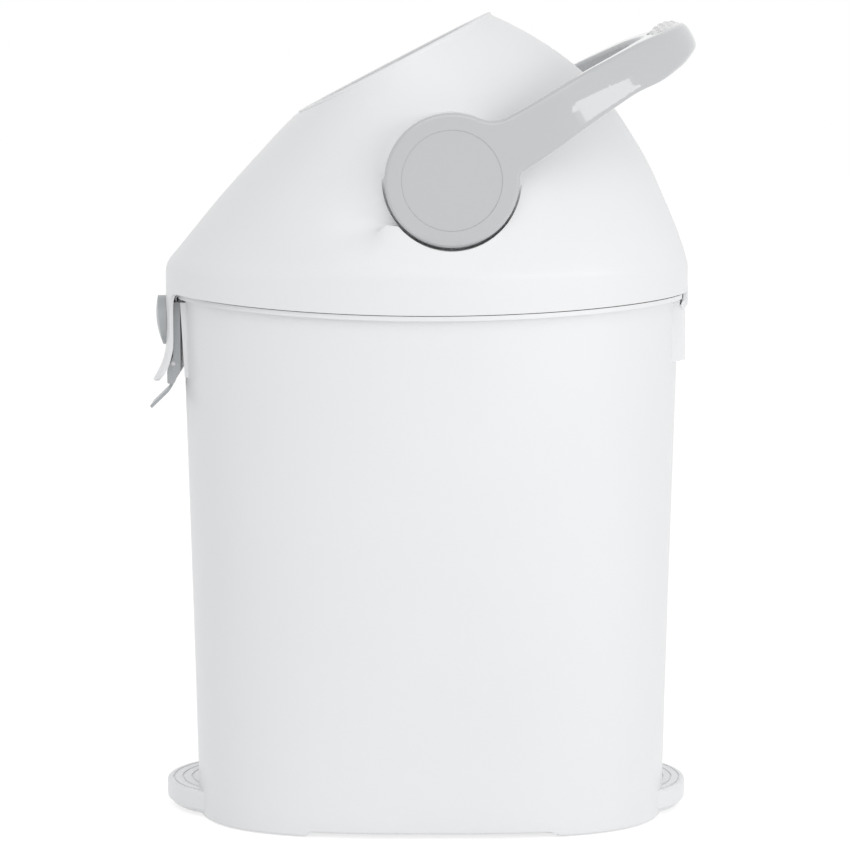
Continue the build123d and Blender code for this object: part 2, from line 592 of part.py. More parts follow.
with BuildPart() as seam_cut:
    extrude(below_seam(0, SEAM_END_Z - TAB_LIP_Z + SKIRT_DROP), amount=2 * SKIRT_HALF_W, both=True)
    with BuildSketch(Plane.XZ.offset(-TAB_DEEP_Y)) as tab_outline:
        with Locations((0, TAB_LIP_Z)):
            Rectangle(2 * TAB_HALF_W, SEAM_END_Z - TAB_LIP_Z, align=(Align.CENTER, Align.MIN))
        with Locations((0, SEAM_END_Z - SEAM_GAP)):
            skirt_width = 2 * (TAB_HALF_W + TAB_FILLET) + SKIRT_DROP
            Rectangle(skirt_width, SKIRT_DROP, align=(Align.CENTER, Align.MIN))
        seam_level = tab_outline.vertices().group_by(Axis.Y)[1]
        fillet(seam_level.filter_by(lambda v: abs(v.X) < TAB_HALF_W + 1), TAB_FILLET)
        fillet(tab_outline.vertices().group_by(Axis.Y)[0], TAB_CORNER)
    extrude(amount=-TAB_DEEP_Y, mode=Mode.SUBTRACT)

with BuildPart() as head_cavity:
    add(head_form(HEAD_WALL, SHELL_TOP_D - HEAD_WALL))
    extrude(lip_oval(0, HEAD_WALL), amount=SKIRT_BOTTOM_Z - TAB_FLARE_Z)
    loft([lip_oval(step / (HEAD_SECTIONS - 1), HEAD_WALL) for step in range(HEAD_SECTIONS)])
    for side in (-1, 1):
        with BuildSketch(HUB_SIDE.offset(side * BALL_HALF_W)):
            Circle(HUB_R - HEAD_WALL)
        extrude(amount=side * (POCKET_FLOOR_X - HEAD_WALL - BALL_HALF_W))
    add(relief(HEAD_WALL), mode=Mode.SUBTRACT)

with BuildPart() as liner_posts:
    with BuildSketch(Plane.XY.offset(LINER_Z + LINER_H)):
        with GridLocations(2 * LINER_BOSS_X, 2 * LINER_BOSS_Y, 2, 2):
            Circle(LINER_BOSS_R)
    extrude(amount=2 * BALL_R)
    add(head_form(HEAD_WALL / 2, SHELL_TOP_D), mode=Mode.INTERSECT)

with BuildPart() as head_shell:
    add(head_form(0, SHELL_TOP_D))
    extrude(lip_oval(0, 0), amount=SKIRT_BOTTOM_Z - TAB_FLARE_Z)
    loft([lip_oval(step / (HEAD_SECTIONS - 1), 0) for step in range(HEAD_SECTIONS)])
    for side in (-1, 1):
        with BuildSketch(HUB_SIDE.offset(side * BALL_HALF_W)):
            Circle(HUB_R)
        extrude(amount=side * (POCKET_FLOOR_X - BALL_HALF_W))
    add(relief(0), mode=Mode.SUBTRACT)
    add(head_cavity.part, mode=Mode.SUBTRACT)
    add(seam_cut.part, mode=Mode.SUBTRACT)
    add(liner_posts.part)
    # bearing bosses inside the plinths
    for side in (-1, 1):
        with BuildSketch(HUB_SIDE.offset(side * POCKET_FLOOR_X)):
            Circle(JOURNAL_R + RUNNING_FIT + 2 * BUSH_WALL)
        extrude(amount=-side * BUSH_LEN)
        with BuildSketch(HUB_SIDE.offset(side * POCKET_FLOOR_X)):
            Circle(JOURNAL_R + RUNNING_FIT + BUSH_WALL)
        extrude(amount=-side * BUSH_LEN, mode=Mode.SUBTRACT)
    # the opening under the inlet collar
    with BuildSketch(TUBE_PLANE.offset(SHELL_TOP_D)):
        Circle(COLLAR_MOUTH_R + COLLAR_WALL + FIT_GAP)
    extrude(amount=-3 * HEAD_WALL, mode=Mode.SUBTRACT)
    # hinge arm and knuckle
    with BuildSketch(Plane.YZ.offset(-HEAD_KNUCKLE_HALF_L)):
        with Locations((HINGE_Y, HINGE_Z)):
            Circle(KNUCKLE_R)
            Rectangle(KNUCKLE_R, SEAM_END_Z - HINGE_Z + KNUCKLE_R, align=(Align.MIN, Align.MIN))
            Circle(HINGE_PIN_R + RUNNING_FIT, mode=Mode.SUBTRACT)
    extrude(amount=2 * HEAD_KNUCKLE_HALF_L)
    # button hole in the tab
    with BuildSketch(Plane.XZ.offset(-TAB_DEEP_Y)):
        with Locations((0, BUTTON_Z)):
            Circle(BUTTON_R + BUTTON_FIT)
    extrude(amount=-TAB_DEEP_Y, mode=Mode.SUBTRACT)
    # screw holes in the liner posts
    with BuildSketch(Plane.XY.offset(LINER_Z + LINER_H)):
        with GridLocations(2 * LINER_BOSS_X, 2 * LINER_BOSS_Y, 2, 2):
            Circle(LINER_SCREW_R + SCREW_HOLE_CLEAR)
    extrude(amount=LINER_SCREW_LEN, mode=Mode.SUBTRACT)
finish(head_shell, "head_shell")

# ---- inlet collar and seals: turned about the tube's axis ---------------------------------------
def turned(plane, points):
    """A closed profile sketch in a plane through a turning axis: local x is the radius."""
    with BuildSketch(plane) as sketch:
        with BuildLine():
            Polyline(*points, close=True)
        make_face()
    return sketch.sketch


THROAT_OUTER_R = COLLAR_THROAT_R + COLLAR_WALL
SEAL_BALL_R = BALL_R + SEAL_GAP
with BuildPart() as inlet_collar:
    revolve(
        turned(TUBE_PROFILE, [
            (COLLAR_MOUTH_R, RIM_DISTANCE), (RIM_R, RIM_DISTANCE), (RIM_R, SHELL_TOP_D),
            (COLLAR_MOUTH_R + COLLAR_WALL, SHELL_TOP_D), (THROAT_OUTER_R, COLLAR_THROAT_D),
            (COLLAR_THROAT_R, COLLAR_THROAT_D),
        ]),
        axis=TUBE_AXIS,
    )
    rim_circles = inlet_collar.edges().filter_by(GeomType.CIRCLE)
    fillet(rim_circles.filter_by(lambda e: abs(e.radius - RIM_R) < 0.1).sort_by(Axis.Z)[-1], RIM_ROUND)
    rim_circles = inlet_collar.edges().filter_by(GeomType.CIRCLE)
    fillet(rim_circles.filter_by(lambda e: abs(e.radius - COLLAR_MOUTH_R) < 0.1), RIM_ROUND)
finish(inlet_collar, "inlet_collar")


def wiper(outer_r):
    """Profile points of a seal ring between a collar's throat and the ball."""
    return [
        (COLLAR_THROAT_R, COLLAR_THROAT_D), (outer_r, COLLAR_THROAT_D),
        (outer_r, sqrt(SEAL_BALL_R ** 2 - outer_r ** 2)),
        (COLLAR_THROAT_R, sqrt(SEAL_BALL_R ** 2 - COLLAR_THROAT_R ** 2)),
    ]


with BuildPart() as inlet_seal:
    revolve(turned(TUBE_PROFILE, wiper(COLLAR_THROAT_R + COLLAR_SEAL_W)), axis=TUBE_AXIS)
finish(inlet_seal, "inlet_seal")

# ---- head liner with the drop collar, its seal, the rim gasket and the screws -------------------
with BuildPart() as head_liner:
    liner_half_w = SKIRT_HALF_W - HEAD_WALL - LINER_GAP
    liner_half_d = SKIRT_HALF_D - HEAD_WALL - LINER_GAP
    extrude(oval(LINER_Z, liner_half_w, liner_half_d, SKIRT_SHIFT_Y), amount=LINER_H)
    revolve(
        turned(DROP_PROFILE, [
            (COLLAR_THROAT_R, COLLAR_THROAT_D), (THROAT_OUTER_R, COLLAR_THROAT_D),
            (THROAT_OUTER_R, HUB_Z - LINER_Z), (COLLAR_THROAT_R, HUB_Z - LINER_Z),
        ]),
        axis=DROP_AXIS,
    )
    with BuildSketch(Plane.XY.offset(LINER_Z)):
        with Locations((0, HUB_Y)):
            Circle(COLLAR_THROAT_R)
    extrude(amount=LINER_H, mode=Mode.SUBTRACT)
    with BuildSketch(Plane.XY.offset(LINER_Z)):
        with GridLocations(2 * LINER_BOSS_X, 2 * LINER_BOSS_Y, 2, 2):
            Circle(LINER_SCREW_R + SCREW_HOLE_CLEAR)
    extrude(amount=LINER_H, mode=Mode.SUBTRACT)
finish(head_liner, "head_liner")

with BuildPart() as outlet_seal:
    revolve(turned(DROP_PROFILE, wiper(COLLAR_THROAT_R + COLLAR_SEAL_W)), axis=DROP_AXIS)
finish(outlet_seal, "outlet_seal")

with BuildPart() as rim_gasket:
    gasket_out = (BUCKET_TOP_HALF_W + BAG_RING_H / 2, BUCKET_TOP_HALF_D + BAG_RING_H / 2)
    gasket_h = LINER_Z - BUCKET_TOP_Z - BAG_RING_H - GASKET_GAP
    extrude(oval(LINER_Z - gasket_h, *gasket_out), amount=gasket_h)
    extrude(
        oval(LINER_Z - gasket_h, gasket_out[0] - GASKET_W, gasket_out[1] - GASKET_W),
        amount=gasket_h,
        mode=Mode.SUBTRACT,
    )
finish(rim_gasket, "rim_gasket")

with BuildPart() as liner_screws:
    with BuildSketch(Plane.XY.offset(LINER_Z)):
        with GridLocations(2 * LINER_BOSS_X, 2 * LINER_BOSS_Y, 2, 2):
            Circle(LINER_SCREW_HEAD_R)
    extrude(amount=-LINER_SCREW_HEAD_H)
    with BuildSketch(Plane.XY.offset(LINER_Z)):
        with GridLocations(2 * LINER_BOSS_X, 2 * LINER_BOSS_Y, 2, 2):
            Circle(LINER_SCREW_R)
    extrude(amount=LINER_SCREW_LEN)
finish(liner_screws, "liner_screws")

# ---- plain bearings of the rotor, one in each plinth --------------------------------------------
BUSH_BORE_R = JOURNAL_R + RUNNING_FIT
for side, bush_name in ((-1, "rotor_bush_left"), (1, "rotor_bush_right")):
    with BuildPart() as rotor_bush:
        extrude(
            ring_sketch(HUB_SIDE.offset(side * POCKET_FLOOR_X), BUSH_BORE_R, BUSH_BORE_R + BUSH_WALL),
            amount=-side * BUSH_LEN,
        )
        extrude(
            ring_sketch(
                HUB_SIDE.offset(side * (POCKET_FLOOR_X - BUSH_LEN)),
                BUSH_BORE_R,
                BUSH_BORE_R + BUSH_WALL + BUSH_FLANGE,
            ),
            amount=-side * BUSH_FLANGE_H,
        )
    finish(rotor_bush, bush_name)

# ---- rotor: a ball in two halves, cut flat at its sides, with a tube right through it -----------
TUBE_OUTER_R = TUBE_BORE_R + TUBE_WALL
TUBE_REACH = 1.2 * BALL_R
SHELL_HOLE_R = TUBE_OUTER_R + FIT_GAP / 2


def ball_half(end):
    """Half of the ball's shell: end is 1 for the inlet half and -1 for the outlet half."""
    inner_r = BALL_R - BALL_WALL
    mid = radians(20)
    with BuildPart() as half:
        with BuildSketch(TUBE_PROFILE):
            with BuildLine():
                outer = ThreePointArc(
                    (BALL_R, 0), (BALL_R * cos(mid), end * BALL_R * sin(mid)),
                    (SHELL_HOLE_R, end * ball_distance(SHELL_HOLE_R)),
                )
                inner = ThreePointArc(
                    (SHELL_HOLE_R, end * sqrt(inner_r ** 2 - SHELL_HOLE_R ** 2)),
                    (inner_r * cos(mid), end * inner_r * sin(mid)), (inner_r, 0),
                )
                Line(outer @ 1, inner @ 0)
                Line(inner @ 1, outer @ 0)
            make_face()
        revolve(axis=TUBE_AXIS)
        for side in (-1, 1):
            flat = Plane(origin=(side * BALL_HALF_W, HUB_Y, HUB_Z), x_dir=TUBE_DIR, z_dir=(1, 0, 0))
            with BuildSketch(flat):
                Circle(BALL_R)
            extrude(amount=side * BALL_R, mode=Mode.SUBTRACT)
            with BuildSketch(flat):
                Circle(sqrt(BALL_R ** 2 - BALL_HALF_W ** 2))
                Rectangle(
                    BALL_R, 2 * BALL_R, align=(Align.MIN if end > 0 else Align.MAX, Align.CENTER),
                    mode=Mode.INTERSECT,
                )
            extrude(amount=-side * BALL_WALL)
    return half.part


with BuildPart() as rotor_shell_upper:
    add(ball_half(1))
    for side in (-1, 1):
        with BuildSketch(HUB_SIDE.offset(side * BALL_HALF_W)):
            Circle(JOURNAL_R)
        extrude(amount=side * (HUB_INNER_X - BALL_HALF_W))
        with BuildSketch(HUB_SIDE.offset(side * BALL_HALF_W)):
            Circle(JOURNAL_BORE_R)
        extrude(amount=side * (HUB_INNER_X - BALL_HALF_W - JOURNAL_WEB), mode=Mode.SUBTRACT)
        with BuildSketch(HUB_SIDE.offset(side * HUB_INNER_X)):
            with PolarLocations(DOG_R, DOG_COUNT):
                Circle(DOG_W / 2)
        extrude(amount=side * DOG_H)
        with BuildSketch(HUB_SIDE.offset(side * HUB_INNER_X)):
            Circle(HUB_SCREW_R + SCREW_HOLE_CLEAR)
        extrude(amount=-side * JOURNAL_WEB, mode=Mode.SUBTRACT)
finish(rotor_shell_upper, "rotor_shell_upper")

with BuildPart() as rotor_shell_lower:
    add(ball_half(-1))
finish(rotor_shell_lower, "rotor_shell_lower")

with BuildPart() as rotor_tube:
    with BuildSketch(TUBE_PLANE.offset(-TUBE_REACH)):
        Circle(TUBE_OUTER_R)
    extrude(amount=2 * TUBE_REACH)
    with Locations((0, HUB_Y, HUB_Z)):
        Sphere(BALL_R, mode=Mode.INTERSECT)
    with BuildSketch(TUBE_PLANE.offset(-TUBE_REACH)):
        Circle(TUBE_BORE_R - TUBE_LIP)
    extrude(amount=2 * TUBE_REACH, mode=Mode.SUBTRACT)
    lip_d = ball_distance(TUBE_BORE_R) - TUBE_LIP_H
    with BuildSketch(TUBE_PLANE.offset(-lip_d)):
        Circle(TUBE_BORE_R)
    extrude(amount=2 * lip_d, mode=Mode.SUBTRACT)
finish(rotor_tube, "rotor_tube")

# ---- piston, its seal and its weight ------------------------------------------------------------
PISTON_LOW = -(ball_distance(TUBE_BORE_R) - TUBE_LIP_H) + PISTON_REST_GAP
PISTON_TOP = PISTON_LOW + PISTON_H
SEAL_LOW = PISTON_TOP - PISTON_CROWN - SEAL_SECTION
with BuildPart() as piston:
    revolve(
        turned(TUBE_PROFILE, [
            (0, PISTON_TOP), (PISTON_R, PISTON_TOP), (PISTON_R, SEAL_LOW + SEAL_SECTION),
            (PISTON_R - PISTON_SKIN, SEAL_LOW + SEAL_SECTION), (PISTON_R - PISTON_SKIN, SEAL_LOW),
            (PISTON_R, SEAL_LOW), (PISTON_R, PISTON_LOW), (PISTON_R - PISTON_SKIN, PISTON_LOW),
            (PISTON_R - PISTON_SKIN, SEAL_LOW - PISTON_SKIN),
            (PISTON_R - 2 * PISTON_SKIN, SEAL_LOW - PISTON_SKIN),
            (PISTON_R - 2 * PISTON_SKIN, PISTON_TOP - PISTON_CROWN), (0, PISTON_TOP - PISTON_CROWN),
        ]),
        axis=TUBE_AXIS,
    )
finish(piston, "piston")

with BuildPart() as piston_seal:
    extrude(
        ring_sketch(TUBE_PLANE.offset(SEAL_LOW), PISTON_R - PISTON_SKIN, TUBE_BORE_R - SEAL_FIT),
        amount=SEAL_SECTION,
    )
finish(piston_seal, "piston_seal")

with BuildPart() as piston_weight:
    with BuildSketch(TUBE_PLANE.offset(PISTON_TOP - PISTON_CROWN)):
        Circle(WEIGHT_R)
    extrude(amount=-WEIGHT_H)
finish(piston_weight, "piston_weight")

# ---- handle: two hubs, two tapered arms and the arched grip -------------------------------------
TAPER = (ARM_HALF_H_AT_HUB - ARM_HALF_H_AT_TIP) / GRIP_OUTER_R
ARM_REACH = GRIP_OUTER_R + HUB_R       # past the grip, whose end the plan's arc cuts
with BuildPart() as handle:
    with BuildSketch(ARM_SIDE.offset(-HUB_OUTER_X)) as arm_side:
        Circle(HUB_R)
        with BuildLine():
            Polyline(
                (0, ARM_HALF_H_AT_HUB), (ARM_REACH, ARM_HALF_H_AT_HUB - TAPER * ARM_REACH),
                (ARM_REACH, TAPER * ARM_REACH - ARM_HALF_H_AT_HUB), (0, -ARM_HALF_H_AT_HUB), close=True,
            )
        make_face()
        corners = arm_side.vertices().filter_by(lambda v: HUB_R - 15 < v.X < HUB_R + 5)
        fillet(corners.sort_by(Axis.Y)[-1], ARM_TOP_FILLET)
        corners = arm_side.vertices().filter_by(lambda v: HUB_R - 15 < v.X < HUB_R + 5 and v.Y < 0)
        fillet(corners.sort_by(Axis.Y)[0], ARM_LOW_FILLET)
    extrude(amount=2 * HUB_OUTER_X)
    with BuildSketch(ARM_PLAN.offset(-2 * HUB_R)):
        with Locations((0, GRIP_OUTER_R - HUB_OUTER_X)):
            Circle(HUB_OUTER_X)
        with Locations((0, -2 * HUB_R)):
            arm_reach = GRIP_OUTER_R - HUB_OUTER_X + 2 * HUB_R
            Rectangle(2 * HUB_OUTER_X, arm_reach, align=(Align.CENTER, Align.MIN))
        with Locations((0, GRIP_INNER_R - ARM_INNER_X)):
            Circle(ARM_INNER_X, mode=Mode.SUBTRACT)
        with Locations((0, -2 * HUB_R)):
            Rectangle(
                2 * ARM_INNER_X, GRIP_INNER_R - ARM_INNER_X + 2 * HUB_R, align=(Align.CENTER, Align.MIN),
                mode=Mode.SUBTRACT,
            )
    extrude(amount=4 * HUB_R, mode=Mode.INTERSECT)
    fillet(handle.edges(), HANDLE_EDGE)
    for side in (-1, 1):
        with BuildSketch(ARM_SIDE.offset(side * HUB_INNER_X)):
            Circle(HUB_R)
        extrude(amount=side * (ARM_INNER_X + HANDLE_EDGE - HUB_INNER_X))
        # seat for the cap, hollow behind it, dog sockets and the screw's hole
        with BuildSketch(HUB_SIDE.offset(side * HUB_OUTER_X)):
            Circle(HUB_CAP_R + FIT_GAP / 2)
        extrude(amount=-side * HUB_CAP_SINK, mode=Mode.SUBTRACT)
        with BuildSketch(HUB_SIDE.offset(side * HUB_OUTER_X)):
            Circle(HUB_CAP_R - HUB_CAP_LEDGE)
        extrude(amount=-side * (HUB_OUTER_X - HUB_INNER_X - HUB_FLOOR), mode=Mode.SUBTRACT)
        with BuildSketch(HUB_SIDE.offset(side * HUB_INNER_X)):
            with PolarLocations(DOG_R, DOG_COUNT):
                Circle(DOG_W / 2 + FIT_GAP / 2)
        extrude(amount=side * (DOG_H + FIT_GAP), mode=Mode.SUBTRACT)
        with BuildSketch(HUB_SIDE.offset(side * HUB_INNER_X)):
            Circle(HUB_SCREW_R + SCREW_HOLE_CLEAR)
        extrude(amount=side * HUB_FLOOR, mode=Mode.SUBTRACT)
    grip_half_h = ARM_HALF_H_AT_HUB - TAPER * (GRIP_OUTER_R + GRIP_INNER_R) / 2
    pad_plane = ARM_PLAN.offset(grip_half_h - GRIP_PAD_SINK)
    with BuildSketch(pad_plane):
        with Locations((0, (GRIP_OUTER_R + GRIP_INNER_R) / 2)):
            Ellipse(GRIP_PAD_HALF_L + FIT_GAP / 2, GRIP_PAD_HALF_W + FIT_GAP / 2)
    extrude(amount=GRIP_PAD_H, mode=Mode.SUBTRACT)
finish(handle, "handle")

for side, cap_name in ((-1, "hub_cap_left"), (1, "hub_cap_right")):
    with BuildPart() as hub_cap:
        with BuildSketch(HUB_SIDE.offset(side * (HUB_OUTER_X - HUB_CAP_SINK))):
            Circle(HUB_CAP_R)
        extrude(amount=side * HUB_CAP_H)
    finish(hub_cap, cap_name)

with BuildPart() as hub_screws:
    for side in (-1, 1):
        with BuildSketch(HUB_SIDE.offset(side * (HUB_INNER_X + HUB_FLOOR))):
            Circle(HUB_SCREW_HEAD_R)
        extrude(amount=side * HUB_SCREW_HEAD_H)
        with BuildSketch(HUB_SIDE.offset(side * (HUB_INNER_X + HUB_FLOOR))):
            Circle(HUB_SCREW_R)
        extrude(amount=-side * (HUB_SCREW_LEN))
finish(hub_screws, "hub_screws")

with BuildPart() as grip_pad:
    with BuildSketch(pad_plane):
        with Locations((0, (GRIP_OUTER_R + GRIP_INNER_R) / 2)):
            Ellipse(GRIP_PAD_HALF_L, GRIP_PAD_HALF_W)
    extrude(amount=GRIP_PAD_H)
finish(grip_pad, "grip_pad")

# ---- push button in the tab ---------------------------------------------------------------------
# the front is part of a ball whose middle is above the button's, so that it leans
with BuildPart() as button_dome:
    with BuildSketch(Plane.XY.offset(BUTTON_Z + BUTTON_LEAN)):
        with BuildLine():
            front = CenterArc((0, BUTTON_FRONT_Y + BUTTON_DOME_R), BUTTON_DOME_R, -90, BUTTON_DOME_HALF_A)
            Polyline(front @ 1, ((front @ 1).X, BUTTON_BACK_Y), (0, BUTTON_BACK_Y), front @ 0)
        make_face()
    revolve(axis=Axis((0, 0, BUTTON_Z + BUTTON_LEAN), (0, 1, 0)))

with BuildPart() as latch_button:
    with BuildSketch(Plane.XZ.offset(-BUTTON_BACK_Y)):
        with Locations((0, BUTTON_Z)):
            Circle(BUTTON_R)
    extrude(amount=BUTTON_BACK_Y - BUTTON_FRONT_Y)
    add(button_dome.part, mode=Mode.INTERSECT)
    with BuildSketch(Plane.XZ.offset(-BUTTON_BACK_Y)):
        with Locations((0, BUTTON_Z)):
            Circle(BUTTON_R - BUTTON_WALL)
    extrude(amount=BUTTON_CUP_DEPTH, mode=Mode.SUBTRACT)
    # centre stem that pushes the lever
    with BuildSketch(Plane.XZ.offset(-BUTTON_STEM_Y)):
        with Locations((0, BUTTON_Z)):
            Circle(BUTTON_STEM_R)
    extrude(amount=BUTTON_STEM_Y - BUTTON_BACK_Y + BUTTON_CUP_DEPTH)
    # side tongues, each with an ear that holds the button behind the tab
    with BuildSketch(Plane.XY.offset(BUTTON_Z)):
        for side in (-1, 1):
            inner_x = side * (BUTTON_R - BUTTON_TONGUE_IN)
            outer_x = side * (BUTTON_R - BUTTON_TONGUE_OUT)
            with BuildLine():
                Polyline(
                    (inner_x, BUTTON_BACK_Y - BUTTON_TONGUE_ROOT), (outer_x, BUTTON_BACK_Y - BUTTON_TONGUE_ROOT),
                    (outer_x, BUTTON_EAR_FRONT_Y), (side * (BUTTON_R + BUTTON_EAR_OUT), BUTTON_EAR_FRONT_Y),
                    (side * (BUTTON_R + BUTTON_EAR_OUT), BUTTON_EAR_FRONT_Y + BUTTON_EAR_T),
                    (inner_x, BUTTON_EAR_FRONT_Y + BUTTON_EAR_T),
                    close=True,
                )
            make_face()
    extrude(amount=BUTTON_EAR_W / 2, both=True)
finish(latch_button, "latch_button")
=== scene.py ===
import json
import math

import bmesh
import bpy
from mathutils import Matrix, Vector


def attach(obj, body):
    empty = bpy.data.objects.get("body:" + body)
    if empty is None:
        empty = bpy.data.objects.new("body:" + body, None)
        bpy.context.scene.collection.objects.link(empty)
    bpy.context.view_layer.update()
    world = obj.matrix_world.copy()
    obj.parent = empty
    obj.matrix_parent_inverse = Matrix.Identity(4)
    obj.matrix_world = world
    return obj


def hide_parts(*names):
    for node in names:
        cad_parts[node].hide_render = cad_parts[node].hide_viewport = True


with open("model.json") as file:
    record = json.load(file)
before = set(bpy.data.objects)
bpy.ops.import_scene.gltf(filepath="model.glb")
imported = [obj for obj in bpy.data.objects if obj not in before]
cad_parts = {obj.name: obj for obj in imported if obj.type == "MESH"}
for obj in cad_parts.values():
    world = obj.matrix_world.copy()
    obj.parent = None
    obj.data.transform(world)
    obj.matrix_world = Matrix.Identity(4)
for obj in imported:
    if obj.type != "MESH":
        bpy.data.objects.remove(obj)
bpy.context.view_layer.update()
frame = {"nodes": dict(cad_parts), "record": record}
nodes = frame["nodes"]
body_of = {node: body for body, members in frame["record"]["behaviour"]["bodies"].items() for node in members}
slots = {part["node"]: part["material_slot"] for part in frame["record"]["subparts"]}


# ---- materials -------------------------------------------------------------------------------
TONE_SCALE, TONE_DETAIL, TONE_BAND = 9.0, 3.0, (0.3, 0.7)     # slow changes of colour
GLOSS_SCALE, GLOSS_DETAIL, LEAST_ROUGHNESS = 60.0, 4.0, 0.02  # finer changes of gloss
GRAIN_DETAIL, GRAIN_DEPTH = 2.0, 0.0004                       # the mould's fine grain


def noise(tree, place, scale, detail):
    """A noise node that is fixed to the piece."""
    node = tree.nodes.new("ShaderNodeTexNoise")
    node.inputs["Scale"].default_value = scale
    node.inputs["Detail"].default_value = detail
    tree.links.new(place.outputs["Object"], node.inputs["Vector"])
    return node


def plastic(name, color, roughness, grain, grain_scale=900.0, mottle=0.012, spread=0.05, specular=0.5,
            metallic=0.0):
    """Moulded plastic, rubber or metal: faint tone and gloss changes, and a fine moulded grain."""
    mat = bpy.data.materials.new(name)
    mat.use_nodes = True
    tree = mat.node_tree
    tree.nodes.clear()
    out = tree.nodes.new("ShaderNodeOutputMaterial")
    bsdf = tree.nodes.new("ShaderNodeBsdfPrincipled")
    tree.links.new(bsdf.outputs["BSDF"], out.inputs["Surface"])
    bsdf.inputs["Metallic"].default_value = metallic
    bsdf.inputs["Specular IOR Level"].default_value = specular
    place = tree.nodes.new("ShaderNodeTexCoord")

    tone = noise(tree, place, TONE_SCALE, TONE_DETAIL)
    ramp = tree.nodes.new("ShaderNodeValToRGB")
    for stop, position, share in zip(ramp.color_ramp.elements, TONE_BAND, (1.0 - mottle, 1.0 + mottle)):
        stop.position = position
        stop.color = [min(1.0, channel * share) for channel in color] + [1.0]
    tree.links.new(tone.outputs["Fac"], ramp.inputs["Fac"])
    tree.links.new(ramp.outputs["Color"], bsdf.inputs["Base Color"])

    gloss = noise(tree, place, GLOSS_SCALE, GLOSS_DETAIL)
    spanner = tree.nodes.new("ShaderNodeMapRange")
    spanner.inputs["To Min"].default_value = max(LEAST_ROUGHNESS, roughness - spread)
    spanner.inputs["To Max"].default_value = roughness + spread
    tree.links.new(gloss.outputs["Fac"], spanner.inputs["Value"])
    tree.links.new(spanner.outputs["Result"], bsdf.inputs["Roughness"])

    fine = noise(tree, place, grain_scale, GRAIN_DETAIL)
    bump = tree.nodes.new("ShaderNodeBump")
    bump.inputs["Strength"].default_value = grain
    bump.inputs["Distance"].default_value = GRAIN_DEPTH
    tree.links.new(fine.outputs["Fac"], bump.inputs["Height"])
    tree.links.new(bump.outputs["Normal"], bsdf.inputs["Normal"])
    return mat


looks = {
    "body_white": plastic("white_satin", (0.85, 0.855, 0.86), 0.36, grain=0.05, mottle=0.006),
    "handle_grey": plastic("handle_grey_gloss", (0.53, 0.54, 0.55), 0.07, grain=0.004, spread=0.015,
                           mottle=0.006, specular=0.9),
    "cool_grey": plastic("cool_grey_satin", (0.44, 0.455, 0.465), 0.3, grain=0.03),
    "bearing_plastic": plastic("bearing_plastic", (0.74, 0.74, 0.71), 0.45, grain=0.06),
    "dark_rubber": plastic("dark_rubber", (0.02, 0.02, 0.021), 0.75, grain=0.25, grain_scale=600.0),
    "seal_rubber": plastic("seal_rubber", (0.27, 0.28, 0.30), 0.6, grain=0.15, grain_scale=700.0),
    "soft_grip": plastic("soft_grip", (0.84, 0.84, 0.835), 0.28, grain=0.05, grain_scale=500.0),
    "steel": plastic("plain_steel", (0.55, 0.55, 0.56), 0.3, grain=0.05, metallic=1.0),
    "weight_steel": plastic("weight_coated", (0.10, 0.105, 0.115), 0.4, grain=0.08),
}
for name, piece in nodes.items():
    if not piece.material_slots:
        piece.data.materials.append(looks[slots[name]])
    for place in piece.material_slots:
        place.material = looks[slots[name]]


# ---- reshaped copies of nodes --------------------------------------------------------------------
WELD_DIST, CUT_DIST = 0.00001, 0.00002
RELAX_ROUNDS, RELAX_STEP = 30, 0.5


def clamp(value):
    return min(1.0, max(0.0, value))


def rise(low, high, value):
    """0 at low, 1 at high and smooth between."""
    share = clamp((value - low) / (high - low))
    return share * share * (3.0 - 2.0 * share)


def window(low_from, low_to, high_from, high_to, value):
    """1 in the middle, and 0 below low_from and above high_to."""
    return rise(low_from, low_to, value) * (1.0 - rise(high_from, high_to, value))


def finish_piece(piece, node, sharp_degrees, look=None):
    """Put a new piece in its node's place, with the node's body and, unless another is named, its finish."""
    look = look or slots[node]
    piece.data.materials.clear()
    piece.data.materials.append(looks[look])
    for face in piece.data.polygons:
        face.use_smooth = True
        face.material_index = 0
    piece.data.set_sharp_from_angle(angle=math.radians(sharp_degrees))
    bpy.context.scene.collection.objects.link(piece)
    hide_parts(node)
    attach(piece, body_of[node])


def relax_points(form, relax):
    """Draw each point towards its neighbours, by the share that relax gives it."""
    for _ in range(RELAX_ROUNDS):
        goals = []
        for vert in form.verts:
            share = relax(vert.co)
            if share > 0.0:
                around = [edge.other_vert(vert).co for edge in vert.link_edges]
                goals.append((vert, vert.co.lerp(sum(around, Vector()) / len(around), RELAX_STEP * share)))
        for vert, goal in goals:
            vert.co = goal


def reshaped(node, name, move, cuts=(), sharp_degrees=28.0, relax=None, look=None):
    """A copy of a node's mesh, cut along some planes and with each of its points moved a little."""
    mesh = nodes[node].data.copy()
    if "custom_normal" in mesh.attributes:
        mesh.attributes.remove(mesh.attributes["custom_normal"])
    form = bmesh.new()
    form.from_mesh(mesh)
    bmesh.ops.remove_doubles(form, verts=form.verts[:], dist=WELD_DIST)
    for edge in form.edges:
        edge.smooth = True
    for point, normal in cuts:
        everything = form.verts[:] + form.edges[:] + form.faces[:]
        bmesh.ops.bisect_plane(form, geom=everything, plane_co=point, plane_no=normal, dist=CUT_DIST)
    for vert in form.verts:
        vert.co = move(vert.co.copy())
    if relax:
        relax_points(form, relax)
    form.to_mesh(mesh)
    form.free()
    finish_piece(bpy.data.objects.new(name, mesh), node, sharp_degrees, look)


